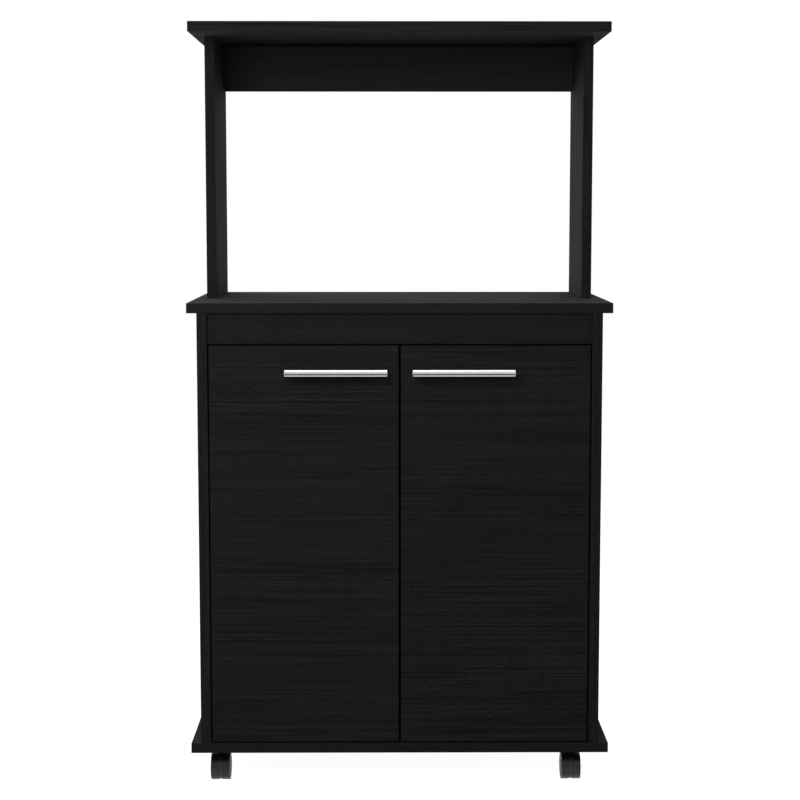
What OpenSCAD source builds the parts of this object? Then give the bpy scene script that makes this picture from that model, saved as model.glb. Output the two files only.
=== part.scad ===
// Microwave cabinet on casters: a two-door cupboard with a worktop, and an open
// hutch over it for the microwave. Millimetres, +Z up, the front faces -Y.
// The origin is on the floor, in the middle of the overall width and depth.

/* [Boards] */
// Thickness of every laminated board
board_t = 15; // [14:0.5:18]
// Thickness of the hardboard back
back_t = 3; // [2.5:0.5:5]
// Rounding of the banded board edges
board_ease = 0.6; // [0.3:0.1:1]

/* [Cupboard] */
// Width of the worktop and of the base
counter_w = 630; // [560:5:760]
// Depth of the worktop and of the base, front to back
counter_d = 360; // [340:5:450]
// How far the worktop and the base stand out past each side panel
overhang = 15; // [8:1:30]
// Height of the side panels, from the base to the worktop
panel_h = 650; // [600:5:760]
// Height of the fascia over the doors
fascia_h = 46; // [40:1:80]
// How far the fascia lies behind the front plane
fascia_recess = 6; // [2:1:12]
// Height of the shelf's underside above the base
shelf_up = 300; // [240:5:340]
// How far the shelf's front edge lies behind the front plane
shelf_set = 34; // [30:1:80]
// Gap between the shelf's ends and the side panels
shelf_gap = 1; // [0.5:0.5:2]

/* [Hutch] */
// Height of the hutch sides, from the worktop to the top board
hutch_h = 400; // [340:5:500]
// Depth of the hutch sides, front to back
hutch_side_d = 200; // [180:5:240]
// How far the hutch sides stand in front of the worktop's back edge
hutch_back_set = 10; // [0:1:20]
// How far the hutch sides stand in from the side panels' outer faces
hutch_inset = 1.5; // [0:0.5:6]
// Depth of the top board, front to back
top_d = 300; // [260:5:340]
// Height of the rail between the hutch sides
rail_h = 72; // [60:1:110]
// How far the rail stands in front of the hutch sides' back edges
rail_set = 20; // [0:1:30]

/* [Doors] */
// Gap round each door
door_gap = 2; // [1.5:0.5:4]
// Gap between the two doors
middle_gap = 3; // [2:0.5:6]
// How far the doors' faces lie behind the front plane
door_recess = 1; // [0:0.5:3]
// Rounding of the doors' edges
door_ease = 1.5; // [0.5:0.5:2]

/* [Handles] */
// Diameter of the handle bar
bar_d = 12; // [8:0.5:14]
// Length of the handle bar
bar_l = 151; // [130:1:240]
// Distance between the two posts of a handle
post_pitch = 96; // [64:1:110]
// Diameter of the handle posts
post_d = 9; // [6:0.5:10]
// From the door's face to the front of the bar
handle_reach = 32; // [26:1:45]
// From the door's free edge to the end of the bar
bar_inset = 17; // [8:1:60]
// From the door's top edge down to the bar's axis
bar_drop = 38.5; // [25:0.5:120]
// Bevel round the ends of the handle bar
bar_bevel = 0.5; // [0.2:0.1:1]
// Diameter of the handle screws
handle_screw_d = 4; // [3:0.5:5]
// Depth of the screw holes in the handle posts
post_bore = 12; // [8:0.5:14]

/* [Hinges] */
// From the door's ends to the middle of each hinge
hinge_inset = 100; // [60:5:200]
// Diameter of the hinge cup
cup_d = 35; // [33:0.5:38]
// Depth of the hinge cup
cup_depth = 11.5; // [10.5:0.25:12.5]
// Board left between the cup and the door's edge
cup_edge = 4; // [3:0.25:5]
// Sheet thickness of the cup
cup_wall = 0.8; // [0.5:0.1:1]
// From the door's hinge edge to the pivot pin
pivot_in = 12; // [11:0.25:14]
// From the door's face to the pivot pin
pivot_deep = 7; // [6:0.25:7.5]
// Diameter of the pivot pin
pivot_d = 2.5; // [2:0.1:3]
// Diameter of the arm's eye round the pivot pin
eye_d = 4.6; // [4:0.1:5]
// Thickness of the hinge arm's bent strip
arm_t = 2.4; // [1.5:0.1:3]
// Width of the hinge arm's bent strip, along the door's edge
arm_w = 10; // [8:0.5:14]
// Radius of the gooseneck bend, to the middle of the strip
neck_r = 5.5; // [4.5:0.25:6.5]
// Length of the hinge arm's straight stretch inside the cup
neck_l = 14; // [13:0.25:15]
// Length of the hinge arm behind the bend
arm_l = 46; // [40:1:60]
// From the panel's front edge to the mounting plate's first screw
plate_set = 37; // [37:0.5:40]
// Distance between the mounting plate's two screws
plate_pitch = 32; // [24:1:40]
// Distance between the cup's two screws
cup_screw_pitch = 48; // [44:1:52]
// Thickness of the mounting plate's base
plate_base = 2; // [1.5:0.25:3]
// Height of the boss on the mounting plate that carries the arm
plate_boss = 4.5; // [3:0.25:5]
// Width of the mounting plate
plate_wide = 18; // [16:1:22]
// Sheet thickness of the arm's channel
arm_sheet = 1.2; // [0.8:0.1:1.5]
// Diameter of the hinge screws
hinge_screw_d = 3.5; // [3:0.5:4]
// Length of the hinge screws in the wood
hinge_screw_l = 11; // [9:0.5:12]

/* [Casters] */
// Diameter of the caster wheels
wheel_d = 40; // [36:1:50]
// Width over the pair of wheels
caster_w = 29; // [24:0.5:40]
// Rounding of the wheels' outer edges
wheel_ease = 0.4; // [0.2:0.1:1.5]
// Thickness of the wheels' tread
rim_t = 4.5; // [3:0.5:6]
// Thickness of the disc that joins a wheel's tread to its hub
web_t = 3; // [2:0.5:4]
// Height from the floor to the base
caster_h = 50; // [49:0.5:62]
// Offset of the wheels from the swivel axis
trail = 16; // [12:1:22]
// Diameter of the wheel axle
axle_d = 6; // [4:0.5:8]
// Thickness of the body between the two wheels
core_t = 4; // [3:0.5:6]
// How far the body's rim lies inside the wheels' tread
core_set = 0.8; // [0.8:0.1:2]
// How far the hood's ends lie inside the wheels' outer faces
hood_in = 0.5; // [0:0.5:4]
// Thickness of the hood
hood_t = 2.5; // [1.5:0.5:3]
// Side of the square top plate
plate_w = 38; // [34:1:46]
// Thickness of the top plate
plate_t = 2; // [1.5:0.5:3]
// Distance between the top plate's screws
plate_screw_pitch = 28; // [26:1:34]
// Diameter of the top plate's screws
plate_screw_d = 4; // [3:0.5:5]
// Length of the top plate's screws in the wood
plate_screw_l = 10; // [8:0.5:12]
// Diameter of the kingpin in the swivel
kingpin_d = 7; // [5:0.5:9]
// Diameter of the swivel head
head_d = 26; // [20:1:30]
// From the base's left end to the middle of the left casters
caster_in_left = 42; // [36:1:80]
// From the base's right end to the middle of the right casters
caster_in_right = 54; // [36:1:80]
// From the base's front and back edges to the swivel axes
caster_set = 49; // [40:1:80]

/* [Fixings] */
// Diameter of the cam locks
cam_d = 15; // [12:1:16]
// Length of the cam locks
cam_h = 12; // [10:0.5:12.5]
// Diameter of the cover caps over the cam locks
cover_d = 17; // [16.5:0.5:19]
// Thickness of the cover caps
cover_t = 0.8; // [0.5:0.1:1.2]
// From a joint to the middle of its cam lock
cam_in = 24; // [20:1:34]
// Diameter of the cam bolts' thread
bolt_d = 6; // [5:0.5:7]
// Length of the cam bolts' thread
bolt_grip = 7; // [6:0.5:7]
// Diameter of the dowels
dowel_d = 8; // [6:0.5:8]
// Length of the dowels
dowel_l = 30; // [25:1:35]
// Length of a dowel in the face of a board
dowel_grip = 10; // [8:0.5:11]
// Diameter of the screws through the base and the worktop
screw_d = 7; // [5:0.5:7]
// Length of the screws through the base and the worktop
screw_l = 50; // [40:1:60]
// From a side panel's front and back edges to its cam locks
side_cam_in = 75; // [70:1:80]
// From a side panel's front and back edges to its screws in the base
side_screw_in = 92; // [90:1:100]
// From a side panel's front and back edges to its dowels
side_dowel_in = 128; // [120:1:135]
// From a hutch side's front and back edges to its cam locks
hutch_cam_in = 50; // [46:1:58]
// From a hutch side's front and back edges to its screws in the worktop
hutch_screw_in = 40; // [35:1:44]
// From a narrow board's long edges to its fixings
narrow_in = 15; // [12:0.5:16]
// Diameter of the shelf pins
pin_d = 5; // [4:0.5:6]
// Depth of the shelf pins in the side panels
pin_hold = 9; // [7:0.5:11]
// Reach of the shelf pins under the shelf
pin_out = 9; // [7:0.5:12]
// Thickness of the shelf pins' tongue above the peg
pin_tongue = 1.5; // [1:0.25:2]
// From the shelf's front and back edges to its pins
pin_in = 40; // [30:1:60]
// Spacing of the shelf pin holes
pin_step = 32; // [25:1:40]
// Number of spare pin holes above the shelf, and the same below it
spare_holes = 2; // [0:1:3]
// Number of nails down each side of the back
nail_count = 6; // [3:1:10]
// Diameter of the back's nails
nail_d = 1.6; // [1.2:0.1:2.5]
// Length of the back's nails
nail_l = 18; // [12:1:25]

/* [Clearances] */
// Clearance round dowels, bolts, screws and pins in their holes
hole_fit = 0.1; // [0.05:0.05:0.2]
// Radial clearance of a turning shaft in its bore
run_fit = 0.05; // [0.02:0.01:0.08]
// Gap between parts that turn past each other
turn_gap = 0.3; // [0.2:0.1:0.4]
// Gap between the wheels' tread and the swivel head
tread_gap = 1.2; // [1:0.1:2]
// Gap between the wheels' tread and the caster's hood
hood_gap = 0.8; // [0.5:0.1:1]

/* [Hidden] */
$fn = 48;

board_colour = [0.13, 0.125, 0.115];
back_colour = [0.10, 0.10, 0.10];
nickel = [0.78, 0.78, 0.77];
zinc = [0.62, 0.63, 0.64];
nylon = [0.07, 0.07, 0.07];
beech = [0.80, 0.66, 0.47];

// Levels, from the floor up
base_z = caster_h;
base_top = base_z + board_t;
counter_z = base_top + panel_h;
counter_top_z = counter_z + board_t;
top_z = counter_top_z + hutch_h;
shelf_z = base_top + shelf_up;
fascia_z = counter_z - fascia_h;
rail_z = top_z - rail_h;
door_z = base_top + door_gap;
door_h = fascia_z - door_gap - door_z;

// Widths, from the middle out
side_out = counter_w / 2 - overhang;
side_in = side_out - board_t;
side_mid = side_out - board_t / 2;
hutch_out = side_out - hutch_inset;
hutch_in = hutch_out - board_t;
hutch_mid = hutch_out - board_t / 2;
door_out = side_in - door_gap;
door_w = door_out - middle_gap / 2;

// Depths, from the front plane back; the handles stand out in front of it
front_y = -(counter_d - handle_reach + door_recess) / 2;
side_d = counter_d - back_t;
hutch_back = counter_d - hutch_back_set;
hutch_front = hutch_back - hutch_side_d;
rail_back = hutch_back - rail_set;
rail_mid = rail_back - board_t / 2;
fascia_mid = fascia_recess + board_t / 2;
shelf_d = side_d - shelf_gap - shelf_set;
door_back = door_recess + board_t;

// Shelf pins and nails
pin_z = shelf_z - pin_tongue - pin_d / 2;
pin_ys = [shelf_set + pin_in, shelf_set + shelf_d - pin_in];
nail_head_d = nail_d * 2.5;
nail_head_t = nail_d / 2;
nail_step = (panel_h - 2 * narrow_in) / (nail_count - 1);

// Cross recess of the cam locks: length and width of a slot, and its depth
drive_l = 6;
drive_w = 1.2;
drive_deep = 2;
// Opening of the cam locks for the bolt, and how far it goes past the lock's middle
cam_slot_d = bolt_d + 1.4;
cam_slot_past = 1.5;
// Collar and tip of the cam bolts
bolt_collar_t = 1.5;
bolt_tip = 3;
// Bevel of the dowels' ends
dowel_bevel = 1;

// Hinges
hinge_zs = [door_z + hinge_inset, door_z + door_h - hinge_inset];
pivot_x = door_out - pivot_in;
pivot_y = door_recess + pivot_deep;
cup_x = pivot_in - cup_edge - cup_d / 2;
plate_x = side_in - pivot_x;
// Slope of the arm inside the cup, and where the gooseneck's bend begins and ends
neck_turn = 24;
bend_x = neck_l * cos(neck_turn) - neck_r * sin(neck_turn);
bend_y = neck_l * sin(neck_turn) + neck_r * cos(neck_turn);
arm_back = bend_y + neck_r;
// Boss of the mounting plate and the channel astride it
boss_x = plate_base + plate_boss - plate_x;
boss_l = plate_pitch - 12;
screw_y = plate_set - pivot_y;
flange_h = plate_boss - 1;
clamp_l = arm_sheet + 3.5;
// Flange of the cup round its mouth, and its ears for the screws
cup_mouth = door_back - pivot_y;
flange_t = 1;
flange_w = 1.5;
ear_d = 10;
ear_in = 5.5;

// Handles, from the door's hinge edge and its face
bar_x = door_w - bar_inset - bar_l / 2;
bar_z = door_z + door_h - bar_drop;
bar_out = handle_reach - bar_d / 2;
post_xs = [bar_x - post_pitch / 2, bar_x + post_pitch / 2];

// Casters, from the swivel axis at the floor
wheel_r = wheel_d / 2;
wheel_w = caster_w / 2 - core_t / 2 - turn_gap;
wheel_skin = 1.5;
hood_w = caster_w - 2 * hood_in;
web_in = 0.8;
hub_r = axle_d / 2 + 4;
core_r = wheel_r - core_set;
axle_reach = core_t / 2 + wheel_w - wheel_skin;
head_z = wheel_d + tread_gap;
head_h = base_z - plate_t - turn_gap - head_z;
head_floor = 1.5;
head_cone = 2.5;
plate_round = 4;
kingpin_sunk = 1.2;
kingpin_bevel = 0.8;
// Neck of the body at the swivel head, before and behind the axis, and behind it at axle height
neck_front = 9;
neck_back = 7;
neck_foot = 4;
// Where the hood begins and ends, up from the horizontal through the axle
hood_from = 12;
hood_to = 65;
caster_xs = [caster_in_left - counter_w / 2, counter_w / 2 - caster_in_right];
caster_ys = [caster_set, counter_d - caster_set];

// Joints of the boards: place, way into the board that holds the cam lock or the
// longer end, and way to the face that the cam lock goes in from
function pairs(length, inset) = [inset, length - inset];
function sided(joints, s) = [for (j = joints) if (j[0].x * s > 0) j];
side_head_cams = [for (s = [-1, 1], y = pairs(side_d, side_cam_in))
    [[s * side_mid, y, counter_z], [0, 0, -1], [-s, 0, 0]]];
side_head_dowels = [for (s = [-1, 1], y = pairs(side_d, side_dowel_in))
    [[s * side_mid, y, counter_z], [0, 0, -1], [-s, 0, 0]]];
side_foot_dowels = [for (s = [-1, 1], y = pairs(side_d, side_dowel_in))
    [[s * side_mid, y, base_top], [0, 0, 1], [-s, 0, 0]]];
side_foot_screws = [for (s = [-1, 1], y = pairs(side_d, side_screw_in))
    [[s * side_mid, y, base_top], [0, 0, 1], [-s, 0, 0]]];
hutch_foot_screws = [for (s = [-1, 1], y = pairs(hutch_side_d, hutch_screw_in))
    [[s * hutch_mid, hutch_front + y, counter_top_z], [0, 0, 1], [-s, 0, 0]]];
hutch_head_cams = [for (s = [-1, 1], y = pairs(hutch_side_d, hutch_cam_in))
    [[s * hutch_mid, hutch_front + y, top_z], [0, 0, -1], [-s, 0, 0]]];
hutch_foot_dowels = [for (s = [-1, 1])
    [[s * hutch_mid, (hutch_front + hutch_back) / 2, counter_top_z], [0, 0, 1], [-s, 0, 0]]];
hutch_head_dowels = [for (s = [-1, 1])
    [[s * hutch_mid, (hutch_front + hutch_back) / 2, top_z], [0, 0, -1], [-s, 0, 0]]];
rail_cams = [for (s = [-1, 1])
    [[s * hutch_in, rail_mid, rail_z + narrow_in], [-s, 0, 0], [0, 1, 0]]];
rail_dowels = [for (s = [-1, 1])
    [[s * hutch_in, rail_mid, top_z - narrow_in], [-s, 0, 0], [0, 1, 0]]];
fascia_cams = [for (s = [-1, 1])
    [[s * side_in, fascia_mid, fascia_z + narrow_in], [-s, 0, 0], [0, 1, 0]]];
fascia_dowels = [for (s = [-1, 1])
    [[s * side_in, fascia_mid, counter_z - narrow_in], [-s, 0, 0], [0, 1, 0]]];
all_cams = concat(side_head_cams, hutch_head_cams, rail_cams, fascia_cams);
all_dowels = concat(side_head_dowels, side_foot_dowels, hutch_foot_dowels, hutch_head_dowels,
    rail_dowels, fascia_dowels);

// Places
module from_front() { translate([0, front_y, 0]) children(); }
module at_joint(j) {
    into = j[1];
    face = j[2];
    across = cross(into, face);
    multmatrix([
        [face.x, across.x, into.x, j[0].x],
        [face.y, across.y, into.y, j[0].y],
        [face.z, across.z, into.z, j[0].z],
        [0, 0, 0, 1]]) children();
}
// On the side given by s, in the left door's terms: x grows from the pivot to the door's free edge
module at_hinge(s, z) {
    translate([s * pivot_x, pivot_y, z]) mirror([s > 0 ? 1 : 0, 0, 0]) children();
}
// On the door's face at its hinge edge and floor level, x growing to the free edge
module at_door(s) {
    translate([s * door_out, door_recess, 0]) mirror([s > 0 ? 1 : 0, 0, 0]) children();
}
module at_caster(side, row) { translate([caster_xs[side], caster_ys[row], 0]) children(); }

// Boards
module eased_rect(w, h, r) {
    translate([r, 0]) square([w - 2 * r, h]);
    translate([0, r]) square([w, h - 2 * r]);
    for (x = [r, w - r], y = [r, h - r]) translate([x, y]) circle(r, $fn = 24);
}
module eased_board(size, r = board_ease) {
    intersection() {
        linear_extrude(size.z) eased_rect(size.x, size.y, r);
        translate([0, size.y, 0]) rotate([90, 0, 0]) linear_extrude(size.y) eased_rect(size.x, size.z, r);
        rotate([90, 0, 90]) linear_extrude(size.x) eased_rect(size.y, size.z, r);
    }
}

// Bores that the fixings need, in the board they enter end on and in the board they are held by
module cam_bores(joints) {
    for (j = joints) at_joint(j) {
        translate([board_t / 2 - cam_h - 2 * hole_fit, 0, cam_in]) rotate([0, 90, 0])
            cylinder(d = cam_d + 2 * hole_fit, h = cam_h + 1);
        translate([0, 0, -1]) cylinder(d = bolt_d + 2, h = cam_in);
    }
}
module bolt_bores(joints) {
    for (j = joints) at_joint(j)
        translate([0, 0, -bolt_grip - hole_fit]) cylinder(d = bolt_d + 2 * hole_fit, h = bolt_grip + 1);
}
module dowel_bores(joints) {
    for (j = joints) at_joint(j) translate([0, 0, -dowel_grip - hole_fit])
        cylinder(d = dowel_d + 2 * hole_fit, h = dowel_l + 2 * hole_fit);
}

// Screw with a countersunk head: its point up, the head's face at z = 0
module sunk_screw(d, l, fit = 0) {
    head_w = d * 1.5;
    head_t = d * 0.3;
    cylinder(d1 = head_w + 2 * fit, d2 = d + 2 * fit, h = head_t + fit);
    cylinder(d = d + 2 * fit, h = l + fit);
}
// The same screw through a board, with the hexagon socket in its head
module socket_screw() {
    translate([0, 0, -board_t]) difference() {
        sunk_screw(screw_d, screw_l);
        translate([0, 0, -1]) cylinder(d = screw_d * 0.6, h = screw_d * 0.3 + 1, $fn = 6);
    }
}
module screw_bores(joints) {
    for (j = joints) at_joint(j) translate([0, 0, -board_t]) sunk_screw(screw_d, screw_l, hole_fit);
}
// Screw with a domed head on the near side of z = 0, its point up
module pan_screw(d, l) {
    head_t = d * 0.5;
    slot = d * 0.2;
    cylinder(d = d, h = l);
    difference() {
        translate([0, 0, -head_t]) cylinder(d1 = d * 1.5, d2 = d * 1.9, h = head_t);
        for (turn = [0, 90]) rotate(turn)
            translate([-d / 2, -slot / 2, -head_t - 1]) cube([d, slot, slot + 1]);
    }
}

// Carcass
module base_board() {
    color(board_colour) from_front() difference() {
        translate([-counter_w / 2, 0, base_z]) eased_board([counter_w, counter_d, board_t]);
        dowel_bores(side_foot_dowels);
        screw_bores(side_foot_screws);
        for (side = [0, 1], row = [0, 1]) at_caster(side, row) plate_screw_places()
            cylinder(d = plate_screw_d + 2 * hole_fit, h = plate_screw_l + hole_fit);
    }
}
module side_panel(s) {
    color(board_colour) from_front() difference() {
        translate([s * side_mid - board_t / 2, 0, base_top]) eased_board([board_t, side_d, panel_h]);
        cam_bores(sided(side_head_cams, s));
        dowel_bores(sided(concat(side_head_dowels, side_foot_dowels, fascia_dowels), s));
        bolt_bores(sided(fascia_cams, s));
        screw_bores(sided(side_foot_screws, s));
        for (y = pin_ys, step = [-spare_holes : spare_holes])
            translate([s * (side_in + pin_hold + hole_fit), y, pin_z + step * pin_step])
                rotate([0, -s * 90, 0]) cylinder(d = pin_d + 2 * hole_fit, h = pin_hold + 1);
        for (z = hinge_zs) at_hinge(s, z) plate_screw_row()
            cylinder(d = hinge_screw_d + 2 * hole_fit, h = hinge_screw_l + hole_fit);
        nail_places(s) cylinder(d = nail_d + 2 * hole_fit, h = nail_l + hole_fit);
    }
}
module left_side_panel() { side_panel(-1); }
module right_side_panel() { side_panel(1); }
module counter_top() {
    color(board_colour) from_front() difference() {
        translate([-counter_w / 2, 0, counter_z]) eased_board([counter_w, counter_d, board_t]);
        bolt_bores(side_head_cams);
        screw_bores(hutch_foot_screws);
        dowel_bores(concat(side_head_dowels, hutch_foot_dowels));
    }
}
module front_fascia() {
    color(board_colour) from_front() difference() {
        translate([-side_in, fascia_recess, fascia_z]) eased_board([2 * side_in, board_t, fascia_h]);
        cam_bores(fascia_cams);
        dowel_bores(fascia_dowels);
    }
}
module inner_shelf() {
    color(board_colour) from_front() translate([shelf_gap - side_in, shelf_set, shelf_z])
        eased_board([2 * (side_in - shelf_gap), shelf_d, board_t]);
}
module back_panel() {
    color(back_colour) from_front() difference() {
        translate([-side_out, side_d, base_top]) cube([2 * side_out, back_t, panel_h]);
        for (s = [-1, 1]) nail_places(s) {
            cylinder(d = nail_d + 2 * hole_fit, h = nail_l);
            translate([0, 0, -1]) cylinder(d = nail_head_d + 2 * hole_fit, h = 1 + nail_head_t + hole_fit);
        }
    }
}

// Hutch
module hutch_side(s) {
    color(board_colour) from_front() difference() {
        translate([s * hutch_mid - board_t / 2, hutch_front, counter_top_z])
            eased_board([board_t, hutch_side_d, hutch_h]);
        cam_bores(sided(hutch_head_cams, s));
        screw_bores(sided(hutch_foot_screws, s));
        dowel_bores(sided(concat(hutch_foot_dowels, hutch_head_dowels, rail_dowels), s));
        bolt_bores(sided(rail_cams, s));
    }
}
module left_hutch_side() { hutch_side(-1); }
module right_hutch_side() { hutch_side(1); }
module hutch_back_rail() {
    color(board_colour) from_front() difference() {
        translate([-hutch_in, rail_back - board_t, rail_z]) eased_board([2 * hutch_in, board_t, rail_h]);
        cam_bores(rail_cams);
        dowel_bores(rail_dowels);
    }
}
module top_board() {
    color(board_colour) from_front() difference() {
        translate([-counter_w / 2, counter_d - top_d, top_z]) eased_board([counter_w, top_d, board_t]);
        bolt_bores(hutch_head_cams);
        dowel_bores(hutch_head_dowels);
    }
}

// Fixings
module base_screws() { color(zinc) from_front() for (j = side_foot_screws) at_joint(j) socket_screw(); }
// Screws of the hutch sides, whose heads the side panels cover from below
module hutch_screws() { color(zinc) from_front() for (j = hutch_foot_screws) at_joint(j) socket_screw(); }
module cam_locks() {
    color(zinc) from_front() for (j = all_cams) at_joint(j)
        translate([board_t / 2, 0, cam_in]) rotate([0, -90, 0]) difference() {
            translate([0, 0, hole_fit]) cylinder(d = cam_d, h = cam_h);
            translate([-cam_d, 0, board_t / 2]) rotate([0, 90, 0])
                cylinder(d = cam_slot_d, h = cam_d + cam_slot_past);
            for (turn = [0, 90]) rotate(turn)
                translate([-drive_l / 2, -drive_w / 2, -1]) cube([drive_l, drive_w, drive_deep + 1]);
        }
}
// Caps over the cam locks, held by a cross that stands in the locks' recess
module cam_covers() {
    bevel = cover_t / 2;
    blade = [drive_l - 4 * hole_fit, drive_w - 4 * hole_fit, drive_deep - 4 * hole_fit];
    color(board_colour) from_front() for (j = all_cams) at_joint(j)
        translate([board_t / 2, 0, cam_in]) rotate([0, 90, 0]) {
            cylinder(d = cover_d, h = cover_t - bevel);
            translate([0, 0, cover_t - bevel]) cylinder(d1 = cover_d, d2 = cover_d - 2 * bevel, h = bevel);
            for (turn = [0, 90]) rotate(turn)
                translate([-blade.x / 2, -blade.y / 2, -blade.z]) cube([blade.x, blade.y, blade.z + bevel]);
        }
}
module cam_bolts() {
    neck = bolt_d * 0.6;
    color(zinc) from_front() for (j = all_cams) at_joint(j) {
        translate([0, 0, -bolt_grip]) cylinder(d = bolt_d, h = bolt_grip);
        cylinder(d = bolt_d + 1, h = bolt_collar_t);
        cylinder(d = neck, h = cam_in - 1);
        translate([0, 0, cam_in - bolt_tip]) cylinder(d = bolt_d, h = bolt_tip);
    }
}
module dowels() {
    color(beech) from_front() for (j = all_dowels) at_joint(j)
        translate([0, 0, -dowel_grip]) {
            cylinder(d1 = dowel_d - 2 * dowel_bevel, d2 = dowel_d, h = dowel_bevel);
            translate([0, 0, dowel_bevel]) cylinder(d = dowel_d, h = dowel_l - 2 * dowel_bevel);
            translate([0, 0, dowel_l - dowel_bevel])
                cylinder(d1 = dowel_d, d2 = dowel_d - 2 * dowel_bevel, h = dowel_bevel);
        }
}

// Shelf pins: a peg in the side panel with a flat tongue under the shelf
module shelf_pins() {
    color(zinc) from_front() for (s = [-1, 1], y = pin_ys) {
        translate([s * (side_in + pin_hold), y, pin_z]) rotate([0, -s * 90, 0])
            cylinder(d = pin_d, h = pin_hold + pin_out);
        translate([s > 0 ? side_in - pin_out : -side_in, y - pin_d, pin_z])
            cube([pin_out, 2 * pin_d, pin_d / 2 + pin_tongue]);
    }
}

// Nails of the back, driven in flush from behind
module nail_places(s) {
    for (i = [0 : nail_count - 1])
        translate([s * side_mid, counter_d, base_top + narrow_in + i * nail_step])
            rotate([90, 0, 0]) children();
}
module back_nails() {
    color(zinc) from_front() for (s = [-1, 1]) nail_places(s) {
        cylinder(d = nail_d, h = nail_l);
        cylinder(d = nail_head_d, h = nail_head_t);
    }
}

// Hinges: cup and pin on the door, arm and mounting plate on the side panel
module plate_screw_row() {
    for (y = [0, plate_pitch]) translate([-plate_x, screw_y + y, 0]) rotate([0, -90, 0]) children();
}
// Gooseneck from the pin out of the cup and back to a channel that sits astride the plate's boss
module hinge_arm() {
    difference() {
        union() {
            translate([0, 0, -arm_w / 2]) linear_extrude(arm_w) {
                circle(d = eye_d);
                rotate(neck_turn) translate([0, -arm_t / 2]) square([neck_l, arm_t]);
                translate([bend_x, bend_y]) intersection() {
                    difference() {
                        circle(neck_r + arm_t / 2);
                        circle(neck_r - arm_t / 2);
                    }
                    union() {
                        square(2 * neck_r);
                        rotate(neck_turn - 90) square(2 * neck_r);
                    }
                }
                translate([boss_x, arm_back - arm_t / 2]) square([bend_x - boss_x, arm_t]);
            }
            translate([boss_x - flange_h, arm_back - arm_t / 2, -arm_w / 2 - arm_sheet])
                cube([flange_h + arm_sheet, arm_l, arm_w + 2 * arm_sheet]);
        }
        cylinder(d = pivot_d + 2 * run_fit, h = 2 * arm_w, center = true);
        translate([boss_x - flange_h - 1, arm_back + arm_t / 2, -arm_w / 2])
            cube([flange_h + 1, arm_l, arm_w]);
        clamp_place() cylinder(d = hinge_screw_d + 2 * hole_fit, h = 2 * arm_sheet, center = true);
    }
}
module clamp_place() {
    translate([boss_x + arm_sheet, screw_y + plate_pitch / 2, 0]) rotate([0, -90, 0]) children();
}
module hinge_arms(s) { color(nickel) from_front() for (z = hinge_zs) at_hinge(s, z) hinge_arm(); }
module left_hinge_arms() { hinge_arms(-1); }
module right_hinge_arms() { hinge_arms(1); }
module hinge_mounting_plates() {
    color(nickel) from_front() for (s = [-1, 1], z = hinge_zs) at_hinge(s, z) difference() {
        union() {
            translate([-plate_x, screw_y, -plate_wide / 2]) cube([plate_base, plate_pitch, plate_wide]);
            for (y = [0, plate_pitch]) translate([-plate_x, screw_y + y, 0]) rotate([0, 90, 0])
                cylinder(d = plate_wide, h = plate_base);
            translate([-plate_x, screw_y + (plate_pitch - boss_l) / 2, hole_fit - arm_w / 2])
                cube([plate_base + plate_boss, boss_l, arm_w - 2 * hole_fit]);
        }
        plate_screw_row() translate([0, 0, -plate_base - 1])
            cylinder(d = hinge_screw_d + 2 * hole_fit, h = 2 * plate_base + 2);
        clamp_place() cylinder(d = hinge_screw_d + 2 * hole_fit, h = clamp_l + hole_fit);
    }
}
module hinge_plate_screws() {
    color(zinc) from_front() for (s = [-1, 1], z = hinge_zs) at_hinge(s, z) {
        plate_screw_row() translate([0, 0, -plate_base])
            pan_screw(hinge_screw_d, hinge_screw_l + plate_base);
        clamp_place() pan_screw(hinge_screw_d, clamp_l);
    }
}
module cup_screw_places() {
    for (side = [-1, 1]) translate([-cup_x + ear_in, cup_mouth, side * cup_screw_pitch / 2])
        rotate([90, 0, 0]) children();
}
module hinge_cup() {
    cup_r = cup_d / 2;
    difference() {
        union() {
            translate([-cup_x, cup_mouth, 0]) rotate([90, 0, 0])
                cylinder(r = cup_r - hole_fit, h = cup_depth - hole_fit);
            translate([-cup_x, cup_mouth + flange_t, 0]) rotate([90, 0, 0])
                cylinder(r = cup_r + flange_w, h = flange_t);
            translate([-cup_x + ear_in - ear_d / 2, cup_mouth, -cup_screw_pitch / 2])
                cube([ear_d, flange_t, cup_screw_pitch]);
            cup_screw_places() translate([0, 0, -flange_t]) cylinder(d = ear_d, h = flange_t);
        }
        translate([-cup_x, cup_mouth + 2 * flange_t, 0]) rotate([90, 0, 0])
            cylinder(r = cup_r - cup_wall, h = cup_depth - cup_wall + 2 * flange_t);
        cylinder(d = pivot_d + 2 * run_fit, h = cup_d, center = true);
        cup_screw_places() translate([0, 0, -2 * flange_t])
            cylinder(d = hinge_screw_d + 2 * hole_fit, h = 4 * flange_t);
    }
}
module hinge_cups(s) { color(nickel) from_front() for (z = hinge_zs) at_hinge(s, z) hinge_cup(); }
module left_hinge_cups() { hinge_cups(-1); }
module right_hinge_cups() { hinge_cups(1); }
// Pins whose ends are dressed flush with the cup's wall
module hinge_pins(s) {
    color(zinc) from_front() for (z = hinge_zs) at_hinge(s, z) intersection() {
        cylinder(d = pivot_d, h = cup_d, center = true);
        translate([-cup_x, pivot_d, 0]) rotate([90, 0, 0])
            cylinder(r = cup_d / 2 - 2 * hole_fit, h = 2 * pivot_d);
    }
}
module left_hinge_pins() { hinge_pins(-1); }
module right_hinge_pins() { hinge_pins(1); }
module cup_screws(s) {
    color(zinc) from_front() for (z = hinge_zs) at_hinge(s, z)
        cup_screw_places() translate([0, 0, -flange_t]) pan_screw(hinge_screw_d, hinge_screw_l + flange_t);
}
module left_cup_screws() { cup_screws(-1); }
module right_cup_screws() { cup_screws(1); }

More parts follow.
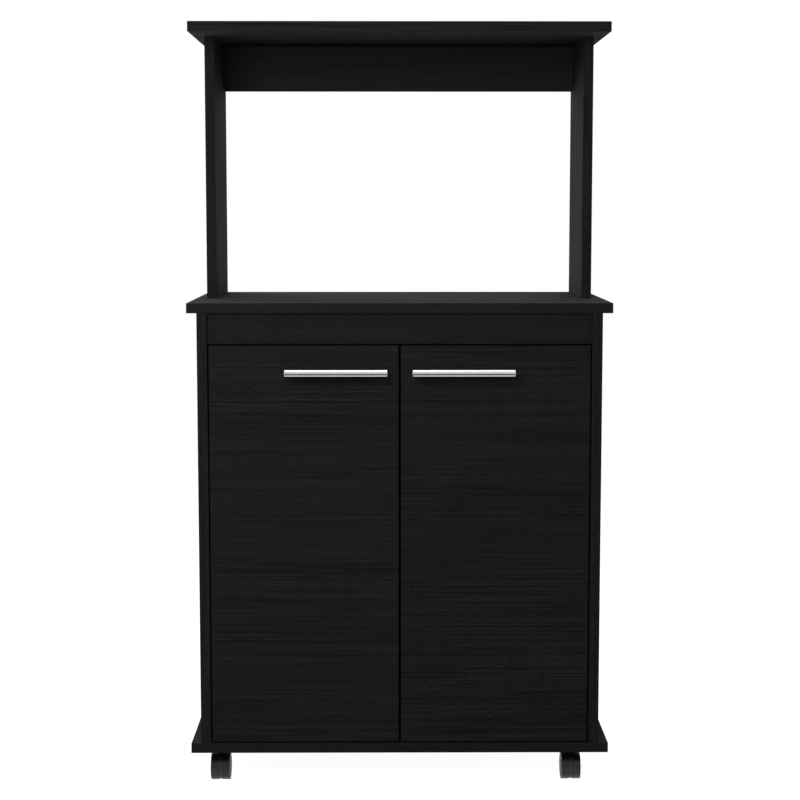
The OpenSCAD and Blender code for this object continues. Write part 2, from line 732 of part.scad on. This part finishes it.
// Doors
module door(s) {
    color(board_colour) from_front() difference() {
        at_door(s) translate([0, 0, door_z]) eased_board([door_w, board_t, door_h], door_ease);
        for (z = hinge_zs) at_hinge(s, z) {
            translate([-cup_x, cup_mouth + 1, 0]) rotate([90, 0, 0])
                cylinder(d = cup_d, h = cup_depth + 1);
            cup_screw_places() cylinder(d = hinge_screw_d + 2 * hole_fit, h = hinge_screw_l + hole_fit);
        }
        at_door(s) for (x = post_xs) translate([x, -1, bar_z]) rotate([-90, 0, 0])
            cylinder(d = handle_screw_d + 6 * hole_fit, h = board_t + 2);
    }
}
module left_door() { door(-1); }
module right_door() { door(1); }
module handle_bar(s) {
    color(nickel) from_front() at_door(s) translate([bar_x, -bar_out, bar_z]) rotate([0, 90, 0])
        rotate_extrude() polygon([
            [0, -bar_l / 2], [bar_d / 2 - bar_bevel, -bar_l / 2], [bar_d / 2, bar_bevel - bar_l / 2],
            [bar_d / 2, bar_l / 2 - bar_bevel], [bar_d / 2 - bar_bevel, bar_l / 2], [0, bar_l / 2]]);
}
module left_handle_bar() { handle_bar(-1); }
module right_handle_bar() { handle_bar(1); }
module handle_posts(s) {
    color(nickel) from_front() at_door(s) difference() {
        for (x = post_xs) translate([x, 0, bar_z]) rotate([90, 0, 0]) cylinder(d = post_d, h = bar_out);
        translate([0, -bar_out, bar_z]) rotate([0, 90, 0]) cylinder(d = bar_d + 2 * run_fit, h = door_w);
        for (x = post_xs) translate([x, 1, bar_z]) rotate([90, 0, 0])
            cylinder(d = handle_screw_d + 2 * hole_fit, h = post_bore + 1);
    }
}
module left_handle_posts() { handle_posts(-1); }
module right_handle_posts() { handle_posts(1); }
module handle_screws(s) {
    color(zinc) from_front() at_door(s) for (x = post_xs)
        translate([x, board_t, bar_z]) rotate([90, 0, 0])
            pan_screw(handle_screw_d, board_t + post_bore - 1);
}
module left_handle_screws() { handle_screws(-1); }
module right_handle_screws() { handle_screws(1); }

// Casters
module plate_screw_places() {
    for (x = [-1, 1], y = [-1, 1])
        translate([x * plate_screw_pitch / 2, y * plate_screw_pitch / 2, base_z]) children();
}
module caster_plate(side, row) {
    bore = kingpin_d + 2 * run_fit;
    color(zinc) from_front() at_caster(side, row) difference() {
        translate([-plate_w / 2, -plate_w / 2, base_z - plate_t]) linear_extrude(plate_t)
            eased_rect(plate_w, plate_w, plate_round);
        translate([0, 0, base_z - plate_t - 1]) cylinder(d = bore, h = plate_t + 2);
        translate([0, 0, base_z - kingpin_sunk])
            cylinder(d1 = bore, d2 = bore + 2 * kingpin_sunk, h = kingpin_sunk);
        plate_screw_places() translate([0, 0, -plate_t - 1])
            cylinder(d = plate_screw_d + 4 * hole_fit, h = plate_t + 2);
    }
}
module caster_kingpins() {
    bottom = head_z + head_floor + turn_gap;
    shank = bottom + kingpin_bevel;
    color(zinc) from_front() for (side = [0, 1], row = [0, 1]) at_caster(side, row) {
        translate([0, 0, shank]) cylinder(d = kingpin_d, h = base_z - shank);
        translate([0, 0, bottom])
            cylinder(d1 = kingpin_d - 2 * kingpin_bevel, d2 = kingpin_d, h = kingpin_bevel);
        translate([0, 0, base_z - kingpin_sunk])
            cylinder(d1 = kingpin_d, d2 = kingpin_d + 2 * kingpin_sunk, h = kingpin_sunk);
    }
}
module caster_plate_screws() {
    color(zinc) from_front() for (side = [0, 1], row = [0, 1]) at_caster(side, row) plate_screw_places()
        translate([0, 0, -plate_t]) pan_screw(plate_screw_d, plate_screw_l + plate_t);
}
// Body between the wheels: a disc that fills the gap in the tread, a web up to the swivel
// head, and a hood that follows the wheels behind
module hood_profile() {
    near = wheel_r + hood_gap;
    far = near + hood_t;
    translate([-trail, wheel_r]) intersection() {
        difference() {
            circle(far, $fn = 96);
            circle(near, $fn = 96);
        }
        polygon([[0, 0], [2 * far, 2 * far * tan(hood_from)], [2 * far, 2 * far],
            [2 * far / tan(hood_to), 2 * far]]);
    }
}
module caster_body(side, row) {
    color(nylon) from_front() at_caster(side, row) difference() {
        union() {
            translate([-core_t / 2, -trail, wheel_r]) rotate([0, 90, 0])
                cylinder(r = core_r, h = core_t, $fn = 96);
            translate([-core_t / 2, 0, 0]) rotate([90, 0, 90]) linear_extrude(core_t) polygon([
                [-trail, wheel_r], [neck_foot, wheel_r], [neck_back, head_z + 1],
                [-neck_front, head_z + 1], [-trail, wheel_r + core_r]]);
            translate([0, 0, head_z]) cylinder(d1 = head_d - 2 * head_cone, d2 = head_d, h = head_h);
            translate([-hood_w / 2, 0, 0]) rotate([90, 0, 90]) linear_extrude(hood_w) hood_profile();
        }
        translate([0, 0, head_z + head_floor]) cylinder(d = kingpin_d + 2 * run_fit, h = head_h);
        translate([-core_t, -trail, wheel_r]) rotate([0, 90, 0])
            cylinder(d = axle_d + run_fit, h = 2 * core_t);
    }
}
module caster_axle(side, row) {
    color(zinc) from_front() at_caster(side, row)
        translate([-axle_reach, -trail, wheel_r]) rotate([0, 90, 0])
            cylinder(d = axle_d, h = 2 * axle_reach);
}
// Cup-shaped wheel: tread and hub joined by a disc at its outer face, in the way given by s
module caster_wheel(side, row, s) {
    rim_in = wheel_r - rim_t;
    web_z = wheel_w - web_t;
    color(nylon) from_front() at_caster(side, row)
        translate([s * (core_t / 2 + turn_gap), -trail, wheel_r]) rotate([0, s * 90, 0])
            rotate_extrude($fn = 96) difference() {
                union() {
                    translate([rim_in, 0]) square([rim_t, wheel_w - wheel_ease]);
                    translate([rim_in, 0]) square([rim_t - wheel_ease, wheel_w]);
                    translate([wheel_r - wheel_ease, wheel_w - wheel_ease]) circle(wheel_ease, $fn = 24);
                    translate([0, web_z]) square([rim_in, web_t - web_in]);
                    square([hub_r, web_z]);
                    translate([0, web_z]) square([hub_r, web_t]);
                }
                translate([0, -1]) square([axle_d / 2 + run_fit, wheel_w - wheel_skin + 1]);
            }
}
module front_left_caster_plate() { caster_plate(0, 0); }
module front_left_caster_body() { caster_body(0, 0); }
module front_left_axle() { caster_axle(0, 0); }
module front_left_outer_wheel() { caster_wheel(0, 0, -1); }
module front_left_inner_wheel() { caster_wheel(0, 0, 1); }
module front_right_caster_plate() { caster_plate(1, 0); }
module front_right_caster_body() { caster_body(1, 0); }
module front_right_axle() { caster_axle(1, 0); }
module front_right_outer_wheel() { caster_wheel(1, 0, 1); }
module front_right_inner_wheel() { caster_wheel(1, 0, -1); }
module rear_left_caster_plate() { caster_plate(0, 1); }
module rear_left_caster_body() { caster_body(0, 1); }
module rear_left_axle() { caster_axle(0, 1); }
module rear_left_outer_wheel() { caster_wheel(0, 1, -1); }
module rear_left_inner_wheel() { caster_wheel(0, 1, 1); }
module rear_right_caster_plate() { caster_plate(1, 1); }
module rear_right_caster_body() { caster_body(1, 1); }
module rear_right_axle() { caster_axle(1, 1); }
module rear_right_outer_wheel() { caster_wheel(1, 1, 1); }
module rear_right_inner_wheel() { caster_wheel(1, 1, -1); }

base_board();
left_side_panel();
right_side_panel();
counter_top();
front_fascia();
inner_shelf();
back_panel();
left_hutch_side();
right_hutch_side();
hutch_back_rail();
top_board();
base_screws();
hutch_screws();
cam_locks();
cam_bolts();
cam_covers();
dowels();
shelf_pins();
back_nails();
left_hinge_arms();
right_hinge_arms();
hinge_mounting_plates();
hinge_plate_screws();
left_door();
left_handle_bar();
left_handle_posts();
left_handle_screws();
left_hinge_cups();
left_hinge_pins();
left_cup_screws();
right_door();
right_handle_bar();
right_handle_posts();
right_handle_screws();
right_hinge_cups();
right_hinge_pins();
right_cup_screws();
caster_kingpins();
caster_plate_screws();
front_left_caster_plate();
front_left_caster_body();
front_left_axle();
front_left_outer_wheel();
front_left_inner_wheel();
front_right_caster_plate();
front_right_caster_body();
front_right_axle();
front_right_outer_wheel();
front_right_inner_wheel();
rear_left_caster_plate();
rear_left_caster_body();
rear_left_axle();
rear_left_outer_wheel();
rear_left_inner_wheel();
rear_right_caster_plate();
rear_right_caster_body();
rear_right_axle();
rear_right_outer_wheel();
rear_right_inner_wheel();
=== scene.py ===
import math

import bpy
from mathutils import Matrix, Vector


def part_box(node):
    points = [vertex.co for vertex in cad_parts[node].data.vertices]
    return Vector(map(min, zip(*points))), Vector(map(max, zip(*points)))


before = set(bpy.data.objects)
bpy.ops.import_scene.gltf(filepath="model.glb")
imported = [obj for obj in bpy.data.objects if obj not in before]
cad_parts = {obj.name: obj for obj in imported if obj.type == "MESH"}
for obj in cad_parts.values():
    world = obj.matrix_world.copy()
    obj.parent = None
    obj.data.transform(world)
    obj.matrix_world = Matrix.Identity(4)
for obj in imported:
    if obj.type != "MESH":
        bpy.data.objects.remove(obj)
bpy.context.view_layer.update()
print("frame loaded:", len(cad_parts), "nodes")

patchStep = (7.31, 3.17, 5.53)  # from one patch of noise to the next


# A shader socket that adds, multiplies and blends like a Python value
class Wire:
    def __init__(self, tree, socket=None):
        self.tree = tree
        self.socket = socket

    def node(self, kind, settings=None, values=None, out=0):
        made = self.tree.nodes.new(kind)
        for key, value in (settings or {}).items():
            setattr(made, key, value)
        for key, value in (values or {}).items():
            if isinstance(value, Wire):
                self.tree.links.new(value.socket, made.inputs[key])
            else:
                made.inputs[key].default_value = value
        return Wire(self.tree, made.outputs[out])

    def math(self, operation, first, second):
        return self.node("ShaderNodeMath", {"operation": operation}, {0: first, 1: second})

    def __add__(self, other):
        return self.math("ADD", self, other)

    def __radd__(self, other):
        return self.math("ADD", other, self)

    def __sub__(self, other):
        return self.math("SUBTRACT", self, other)

    def __rsub__(self, other):
        return self.math("SUBTRACT", other, self)

    def __mul__(self, other):
        return self.math("MULTIPLY", self, other)

    def __rmul__(self, other):
        return self.math("MULTIPLY", other, self)

    def smaller(self, other):
        return self.math("MINIMUM", self, other)

    def larger(self, other):
        return self.math("MAXIMUM", self, other)

    def rise(self, low, high):  # 0 below low, 1 above high, smooth between
        return self.node("ShaderNodeMapRange", {"interpolation_type": "SMOOTHSTEP"},
                         {"Value": self, "From Min": low, "From Max": high})

    def blend(self, first, second):  # the first colour at 0, the second at 1
        return self.node("ShaderNodeMix", {"data_type": "RGBA"},
                         {0: self, 6: rgba(first), 7: rgba(second)}, out=2)  # its colour sockets

    def shift(self, other):  # a point moved by a vector
        return self.node("ShaderNodeVectorMath", {"operation": "ADD"}, {0: self, 1: other})

    def times(self, amount):  # a vector made longer or shorter
        return self.node("ShaderNodeVectorMath", {"operation": "SCALE"},
                         {0: self, "Scale": amount})

    def objectPoint(self):
        return self.node("ShaderNodeTexCoord", out="Object")

    def axes(self):
        parts = self.node("ShaderNodeSeparateXYZ", None, {0: self})
        return [Wire(self.tree, socket) for socket in parts.socket.node.outputs]

    # Noise at this point: waves per metre (one number, or one an axis) and its own patch
    def noise(self, scale, patch=0, detail=2.0, roughness=0.5, out="Fac"):
        placed = self.node("ShaderNodeMapping", None, {
            "Vector": self, "Scale": three(scale),
            "Location": tuple(patch * step for step in patchStep)})
        return self.node("ShaderNodeTexNoise", None, {
            "Vector": placed, "Scale": 1.0, "Detail": detail, "Roughness": roughness}, out)


def three(value):  # one number becomes three
    return value if isinstance(value, tuple) else (value,) * 3


def rgba(colour):
    return colour if isinstance(colour, Wire) else (*colour, 1.0)


def startMaterial(name):
    material = bpy.data.materials.new(name)
    material.use_nodes = True
    material.node_tree.nodes.clear()
    return material, Wire(material.node_tree)


def endMaterial(root, values, height=None, bump=None):  # bump: strength and distance
    if bump:
        strength, distance = bump
        values["Normal"] = root.node("ShaderNodeBump", None, {
            "Height": height, "Strength": strength, "Distance": distance})
    surface = root.node("ShaderNodeBsdfPrincipled", None, values)
    end = root.tree.nodes.new("ShaderNodeOutputMaterial")
    root.tree.links.new(surface.socket, end.inputs["Surface"])


def paint(material, *nodes):
    for name in nodes:
        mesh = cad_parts[name].data
        mesh.materials.clear()
        mesh.materials.append(material)


# Black-brown laminate: straight grain along one axis, foil seam and rubbed edges
laminate = {
    "groundDark": (0.0080, 0.0076, 0.0067),
    "groundLight": (0.0154, 0.0149, 0.0132),
    "pore": (0.0050, 0.0047, 0.0041),
    "edgeRub": (0.021, 0.020, 0.018),
    # the marks of the grain, in metres; edges are the noise where a mark starts and is full
    "pores": {"length": 0.009, "width": 0.0012, "detail": 1.0, "edges": (0.56, 0.70)},
    "hairs": {"length": 0.12, "width": 0.0016, "detail": 1.0, "edges": (0.32, 0.68)},
    "lines": {"length": 0.50, "width": 0.0030, "detail": 0.6, "edges": (0.33, 0.67)},
    "bands": {"length": 1.6, "width": 0.075, "detail": 1.0, "edges": (0.35, 0.65)},
    "waver": {"length": 0.35, "width": 0.09, "detail": 1.0, "reach": 0.0002},
    "depth": 0.62,  # how strongly the marks show where the bands are faint
    "bandDepth": 0.45,  # and how much more where they are full
    "hairShare": 0.62,  # how much each mark counts in the colour
    "lineShare": 0.48,
    "poreShare": 0.85,
    "seamShare": 0.5,
    "rubShare": 0.45,
    "seamIn": (0.0007, 0.0011),  # the foil seam begins and is full, metres from the edge
    "seamOut": (0.0012, 0.0016),  # it fades and ends
    "rubOut": (0.0002, 0.0014),  # the rub fades and ends
    "speckle": {"scale": 260, "detail": 3.0},  # breaks up the rub
    "speckleEdges": (0.42, 0.62),
    "relief": {"lines": 0.3, "hairs": 0.2, "pores": 0.6, "seam": 0.5},
    "bump": (0.30, 0.0003),
    "roughness": (0.72, 0.90),
    "rubSmooths": 0.12,  # taken from the roughness where the edge is rubbed
    "poresRoughen": 0.05,
}


def laminateMaterial(node, along, shade, figure, sheen, seed):
    look = laminate
    material, root = startMaterial("laminate_" + node)
    point = root.objectPoint()
    nearCorner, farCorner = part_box(node)

    def run(row):  # waves per metre: few along the grain, many across it
        return tuple(1 / row["length"] if i == along else 1 / row["width"] for i in range(3))

    def marks(start, name, patch):
        row = look[name]
        return start.noise(run(row), patch, row["detail"]).rise(*row["edges"])

    # a laminate colour made lighter or darker by the board's painted light and shade
    def withPaintedLight(name):
        return tuple(value * tint for value, tint in zip(look[name], three(shade)))

    middle = 0.5  # what the noise varies round
    waver = look["waver"]
    wander = point.noise(run(waver), seed, waver["detail"], out="Color")
    bent = point.shift(wander.shift(three(-middle)).times(waver["reach"]))
    pores = marks(bent, "pores", seed)
    hairs = marks(bent, "hairs", seed + 1)
    lines = marks(bent, "lines", seed + 2)
    bands = marks(point, "bands", seed + 3)
    depth = (look["depth"] + bands * look["bandDepth"]) * figure
    tone = (middle + (lines - middle) * depth * look["lineShare"]
            + (hairs - middle) * depth * look["hairShare"])

    # On a face one of the three distances is 0, so the middle one runs to the nearest edge
    toSides = [(axis - near).smaller(far - axis)
               for axis, near, far in zip(point.axes(), nearCorner, farCorner)]
    least = toSides[0].smaller(toSides[1])
    most = toSides[0].larger(toSides[1])
    toEdge = least.larger(most.smaller(toSides[2]))
    speckle = point.noise(patch=seed, **look["speckle"]).rise(*look["speckleEdges"])
    rub = (1 - toEdge.rise(*look["rubOut"])) * speckle
    seam = toEdge.rise(*look["seamIn"]) * (1 - toEdge.rise(*look["seamOut"]))

    ground = tone.blend(withPaintedLight("groundDark"), withPaintedLight("groundLight"))
    withPores = (pores * depth * look["poreShare"]).blend(ground, withPaintedLight("pore"))
    withSeam = (seam * look["seamShare"]).blend(withPores, withPaintedLight("pore"))
    colour = (rub * look["rubShare"]).blend(withSeam, withPaintedLight("edgeRub"))
    relief = look["relief"]
    height = (lines * relief["lines"] + hairs * relief["hairs"]
              - pores * relief["pores"] - seam * relief["seam"])
    low, high = look["roughness"]
    roughness = (low + (1 - tone) * (high - low)
                 - rub * look["rubSmooths"] + pores * look["poresRoughen"])
    endMaterial(root, {"Base Color": colour, "Roughness": roughness,
                       "Specular IOR Level": sheen}, height, look["bump"])
    return material


acrossX, upZ = 0, 2  # the axis that the grain follows
boards = {  # grain, painted light and shade (each board's colour made lighter or darker to stand in for how the lamps light it), strength of the grain, sheen
    "base_board": (acrossX, 1.00, 0.7, 0.06),
    "counter_top": (acrossX, 1.10, 0.45, 0.06),
    "front_fascia": (acrossX, 1.01, 0.5, 0.06),
    "inner_shelf": (acrossX, 1.00, 0.9, 0.06),
    "hutch_back_rail": (acrossX, (1.25, 1.32, 1.50), 0.3, 0.06),  # painted light for each colour: lifts this board, which sits in the top board's shadow, and makes it a more neutral grey
    "top_board": (acrossX, 1.14, 1.2, 0.04),
    "left_door": (acrossX, 1.03, 1.1, 0.06),
    "right_door": (acrossX, 1.01, 1.1, 0.06),
    "left_side_panel": (upZ, 1.05, 1.1, 0.06),
    "right_side_panel": (upZ, 1.00, 1.1, 0.06),
    "left_hutch_side": (upZ, 1.14, 0.6, 0.03),
    "right_hutch_side": (upZ, 1.14, 1.1, 0.03),
}
for seed, (node, (along, shade, figure, sheen)) in enumerate(boards.items(), 1):
    paint(laminateMaterial(node, along, shade, figure, sheen, seed), node)
print("laminate on", len(boards), "boards")


# Hardboard back: pressed fibre, painted dark
hardboard = {
    "dark": (0.0062, 0.0059, 0.0054),
    "light": (0.0125, 0.0119, 0.0108),
    "fibre": {"scale": (520, 520, 900), "detail": 4.0, "roughness": 0.7},
    "fibreEdges": (0.32, 0.68),
    "fibreShare": 0.6,
    "fluff": {"scale": (60, 60, 75), "detail": 3.0},
    "fluffEdges": (0.35, 0.65),
    "fluffShare": 0.4,
    "mesh": {"scale": 1400, "detail": 1.0},  # print of the press
    "fibreRelief": 0.6,
    "meshRelief": 0.4,
    "bump": (0.45, 0.0003),
    "roughness": (0.78, 0.92),
    "sheen": 0.10,
}


def hardboardMaterial():
    look = hardboard
    material, root = startMaterial("hardboard")
    point = root.objectPoint()
    fibre = point.noise(**look["fibre"])
    fluff = point.noise(**look["fluff"])
    mesh = point.noise(**look["mesh"])
    tone = (fibre.rise(*look["fibreEdges"]) * look["fibreShare"]
            + fluff.rise(*look["fluffEdges"]) * look["fluffShare"])
    height = fibre * look["fibreRelief"] + mesh * look["meshRelief"]
    low, high = look["roughness"]
    endMaterial(root, {"Base Color": tone.blend(look["dark"], look["light"]),
                       "Roughness": low + tone * (high - low),
                       "Specular IOR Level": look["sheen"]}, height, look["bump"])
    return material


paint(hardboardMaterial(), "back_panel")
print("back panel done")


# Metals: colour, roughness, how fine the brushing is (waves per metre) and how deep
metals = {
    "satinNickel": {"dark": (0.62, 0.625, 0.63), "light": (0.68, 0.685, 0.69),
                    "roughness": (0.14, 0.17), "brush": 2400, "depth": 0.000004},
    "nickelPlate": {"dark": (0.44, 0.43, 0.41), "light": (0.66, 0.65, 0.62),
                    "roughness": (0.16, 0.34), "brush": 240, "depth": 0.0001},
    "zincPlate": {"dark": (0.30, 0.31, 0.33), "light": (0.56, 0.57, 0.58),
                  "roughness": (0.26, 0.50), "brush": 420, "depth": 0.0001},
}
metalWear = {  # the same on all three
    "hair": {"detail": 3.0, "roughness": 0.6},
    "hairEdges": (0.28, 0.72),
    "hairShare": 0.6,
    "spots": {"scale": 130, "patch": 4, "detail": 4.0},
    "spotEdges": (0.40, 0.66),
    "spotShare": 0.4,
    "dust": {"scale": 34, "patch": 9},
    "dustEdges": (0.48, 0.70),
    "hairRoughens": 0.7,
    "dustRoughens": 0.5,
    "bumpStrength": 0.25,
}


def metalMaterial(name):
    look, wear = metals[name], metalWear
    material, root = startMaterial(name)
    point = root.objectPoint()
    hair = point.noise(look["brush"], **wear["hair"])
    spots = point.noise(**wear["spots"]).rise(*wear["spotEdges"])
    dust = point.noise(**wear["dust"]).rise(*wear["dustEdges"])
    tone = hair.rise(*wear["hairEdges"]) * wear["hairShare"] + spots * wear["spotShare"]
    low, high = look["roughness"]
    roughness = (low + hair * (high - low) * wear["hairRoughens"]
                 + dust * (high - low) * wear["dustRoughens"])
    endMaterial(root, {"Base Color": tone.blend(look["dark"], look["light"]),
                       "Metallic": 1.0, "Roughness": roughness},
                hair, (wear["bumpStrength"], look["depth"]))
    return material


satinNickel, nickelPlate, zincPlate = (metalMaterial(name) for name in metals)
for side in ("left", "right"):
    paint(satinNickel, side + "_handle_bar", side + "_handle_posts")
    paint(zincPlate, side + "_handle_screws", side + "_cup_screws", side + "_hinge_pins")
    paint(nickelPlate, side + "_hinge_cups", side + "_hinge_arms")
paint(nickelPlate, "hinge_mounting_plates")
paint(zincPlate, "base_screws", "hutch_screws", "cam_locks", "cam_bolts", "shelf_pins",
      "back_nails", "hinge_plate_screws", "caster_kingpins", "caster_plate_screws")
print("metals done")


# Cover caps: matt plastic in the colour of the laminate
caps = {
    "dark": (0.0085, 0.0081, 0.0072),
    "light": (0.0135, 0.0129, 0.0115),
    "sparks": {"scale": 2200},
    "sparkShare": 0.4,
    "clouds": {"scale": 90, "patch": 2},
    "cloudEdges": (0.35, 0.65),
    "cloudShare": 0.6,
    "bump": (0.2, 0.0001),
    "roughness": (0.74, 0.86),
    "sheen": 0.045,
}


def capMaterial():
    look = caps
    material, root = startMaterial("coverCaps")
    point = root.objectPoint()
    sparks = point.noise(**look["sparks"])
    clouds = point.noise(**look["clouds"]).rise(*look["cloudEdges"])
    tone = sparks * look["sparkShare"] + clouds * look["cloudShare"]
    low, high = look["roughness"]
    endMaterial(root, {"Base Color": tone.blend(look["dark"], look["light"]),
                       "Roughness": low + sparks * (high - low),
                       "Specular IOR Level": look["sheen"]}, sparks, look["bump"])
    return material


paint(capMaterial(), "cam_covers")
print("cover caps done")


# Beech dowels: upright fibre with short dark flecks
beech = {
    "dark": (0.42, 0.25, 0.11),
    "light": (0.66, 0.46, 0.25),
    "fibre": {"scale": (900, 900, 60), "detail": 3.0},
    "fibreEdges": (0.3, 0.7),
    "flecks": {"scale": (1500, 700, 300), "patch": 2, "detail": 1.0},
    "fleckEdges": (0.60, 0.70),
    "fleckShare": 0.5,
    "bump": (0.3, 0.0002),
    "roughness": (0.55, 0.75),
}


def beechMaterial():
    look = beech
    material, root = startMaterial("beech")
    point = root.objectPoint()
    fibre = point.noise(**look["fibre"])
    flecks = point.noise(**look["flecks"]).rise(*look["fleckEdges"])
    wood = fibre.rise(*look["fibreEdges"]).blend(look["dark"], look["light"])
    low, high = look["roughness"]
    endMaterial(root, {"Base Color": (flecks * look["fleckShare"]).blend(wood, look["dark"]),
                       "Roughness": low + fibre * (high - low)}, fibre, look["bump"])
    return material


paint(beechMaterial(), "dowels")
print("dowels done")


# Moulded plastic of the casters: fine spark grain, scuffed where it rolls
plastics = {
    "nylonBody": {"base": (0.010, 0.010, 0.0105), "worn": (0.024, 0.024, 0.0245),
                  "roughness": (0.42, 0.58), "sheen": 0.45},
    "wheelPlastic": {"base": (0.004, 0.004, 0.0042), "worn": (0.010, 0.010, 0.0095),
                     "roughness": (0.38, 0.48), "sheen": 0.38},
}
plasticWear = {  # the same on both
    "sparks": {"scale": 2600},
    "scuffs": {"scale": (120, 620, 620), "patch": 3, "detail": 4.0, "roughness": 0.65},
    "scuffEdges": (0.52, 0.70),
    "scuffShare": 0.45,
    "dust": {"scale": 90, "patch": 6, "detail": 3.0},
    "dustEdges": (0.45, 0.72),
    "dustShare": 0.25,
    "sparkRelief": 0.6,
    "scuffRelief": 0.2,
    "bump": (0.2, 0.0001),
    "sparksRoughen": 0.05,
}


def plasticMaterial(name):
    look, wear = plastics[name], plasticWear
    material, root = startMaterial(name)
    point = root.objectPoint()
    sparks = point.noise(**wear["sparks"])
    scuffs = point.noise(**wear["scuffs"]).rise(*wear["scuffEdges"])
    dust = point.noise(**wear["dust"]).rise(*wear["dustEdges"])
    worn = scuffs * wear["scuffShare"] + dust * wear["dustShare"]
    height = sparks * wear["sparkRelief"] + scuffs * wear["scuffRelief"]
    low, high = look["roughness"]
    roughness = low + worn * (high - low) + sparks * wear["sparksRoughen"]
    endMaterial(root, {"Base Color": worn.blend(look["base"], look["worn"]),
                       "Roughness": roughness,
                       "Specular IOR Level": look["sheen"]}, height, wear["bump"])
    return material


nylonBody, wheelPlastic = (plasticMaterial(name) for name in plastics)
for corner in ("front_left", "front_right", "rear_left", "rear_right"):
    paint(nylonBody, corner + "_caster_body")
    paint(wheelPlastic, corner + "_outer_wheel", corner + "_inner_wheel")
    paint(zincPlate, corner + "_caster_plate", corner + "_axle")
print("casters done")


# Studio: pale floor, white surround, soft lamps
white = (1, 1, 1, 1)
black = (0, 0, 0, 1)
studio = {
    "floorSize": 30.0,
    "floorColour": 0.50,
    "floorGlow": 0.955,  # share of the floor that shows white without light
    "floorKeeps": 0.25,  # what the floor shows of the light and the shadow on it
    "surround": 0.16,  # what the object gets from the white around it
    "lamps": [  # name, place, aim, size, watts, shows in reflections
        ("frontLamp", (-0.50, -1.70, 1.25), (-0.25, 0.0, 1.30), 0.9, 27.0, False),
        ("backLamp", (-1.80, 1.60, 1.00), (0.0, 0.0, 0.80), 0.9, 33.0, True),
        ("rightLamp", (2.20, 0.20, 0.45), (0.30, 0.10, 0.50), 1.0, 17.0, False),
        ("rearLamp", (0.60, 2.40, 0.90), (0.0, 0.2, 0.60), 1.2, 9.0, False),
        ("topLamp", (-0.20, -0.20, 2.70), (0.0, 0.0, 0.80), 1.6, 16.0, True),
    ],
    # the dim room that shiny pieces see in front
    "cards": [  # name, centre, width and height, tilt in degrees, shade
        ("floorCard", (0.0, -1.35, 0.004), (5.0, 1.6), 0, 0.06),
        ("roomCard", (0.0, -3.40, 0.50), (6.0, 0.9), 90, 0.42),
    ],
}


def seenDirectly(root):  # 1 for the camera and in mirrors and glass, 0 for scattered light
    seen = [root.node("ShaderNodeLightPath", out=name)
            for name in ("Is Camera Ray", "Is Glossy Ray", "Is Transmission Ray")]
    return seen[0].larger(seen[1]).larger(seen[2])


def makeSheet(name, width, height):
    x, y = width / 2, height / 2
    mesh = bpy.data.meshes.new(name)
    mesh.from_pydata([(-x, -y, 0), (x, -y, 0), (x, y, 0), (-x, y, 0)], [], [(0, 1, 2, 3)])
    sheet = bpy.data.objects.new(name, mesh)
    bpy.context.scene.collection.objects.link(sheet)
    return sheet


def makeFloor():
    floor = makeSheet("floor", studio["floorSize"], studio["floorSize"])
    material, root = startMaterial("studioFloor")
    seen = seenDirectly(root)
    endMaterial(root, {
        "Base Color": seen.blend(three(studio["floorColour"]), three(studio["floorKeeps"])),
        "Roughness": 1.0, "Specular IOR Level": 0.0,
        "Emission Color": white, "Emission Strength": seen * studio["floorGlow"]})
    floor.data.materials.append(material)


def makeSurround():
    world = bpy.data.worlds.new("surround")
    bpy.context.scene.world = world
    world.use_nodes = True
    world.node_tree.nodes.clear()
    root = Wire(world.node_tree)
    strength = studio["surround"] + seenDirectly(root) * (1 - studio["surround"])
    sky = root.node("ShaderNodeBackground", None, {"Color": white, "Strength": strength})
    end = world.node_tree.nodes.new("ShaderNodeOutputWorld")
    world.node_tree.links.new(sky.socket, end.inputs["Surface"])


def makeLamps():
    for name, place, aim, size, watts, shows in studio["lamps"]:
        lamp = bpy.data.lights.new(name, "AREA")
        lamp.size = size
        lamp.energy = watts
        holder = bpy.data.objects.new(name, lamp)
        holder.location = place
        toAim = Vector(aim) - Vector(place)
        holder.rotation_euler = toAim.to_track_quat("-Z", "Y").to_euler()
        holder.visible_camera = False
        holder.visible_glossy = shows
        bpy.context.scene.collection.objects.link(holder)


def makeCards():
    for name, centre, (width, height), tilt, shade in studio["cards"]:
        card = makeSheet(name, width, height)
        card.location = centre
        card.rotation_euler = (math.radians(tilt), 0, 0)
        for way in ("camera", "diffuse", "shadow", "transmission", "volume_scatter"):
            setattr(card, "visible_" + way, False)
        material, root = startMaterial(name)
        endMaterial(root, {"Base Color": black, "Roughness": 1.0, "Specular IOR Level": 0.0,
                           "Emission Color": white, "Emission Strength": shade})
        card.data.materials.append(material)


makeFloor()
makeSurround()
makeLamps()
makeCards()


# Camera: 2.7 m in front of the doors, a little higher than the worktop, tipped down
view = {
    "place": (-0.0181, -2.8524, 0.8721),
    "down": 6.064,  # degrees
    "right": 0.392,
    "lens": 82.1,  # mm
    "sensor": 36,
}
camera = bpy.data.objects.new("camera", bpy.data.cameras.new("camera"))
camera.location = view["place"]
camera.rotation_euler = (math.radians(90 - view["down"]), 0, math.radians(-view["right"]))
camera.data.lens = view["lens"]
camera.data.sensor_width = view["sensor"]
bpy.context.scene.collection.objects.link(camera)
bpy.context.scene.camera = camera
bpy.context.scene.view_settings.view_transform = "Standard"
print("studio done")
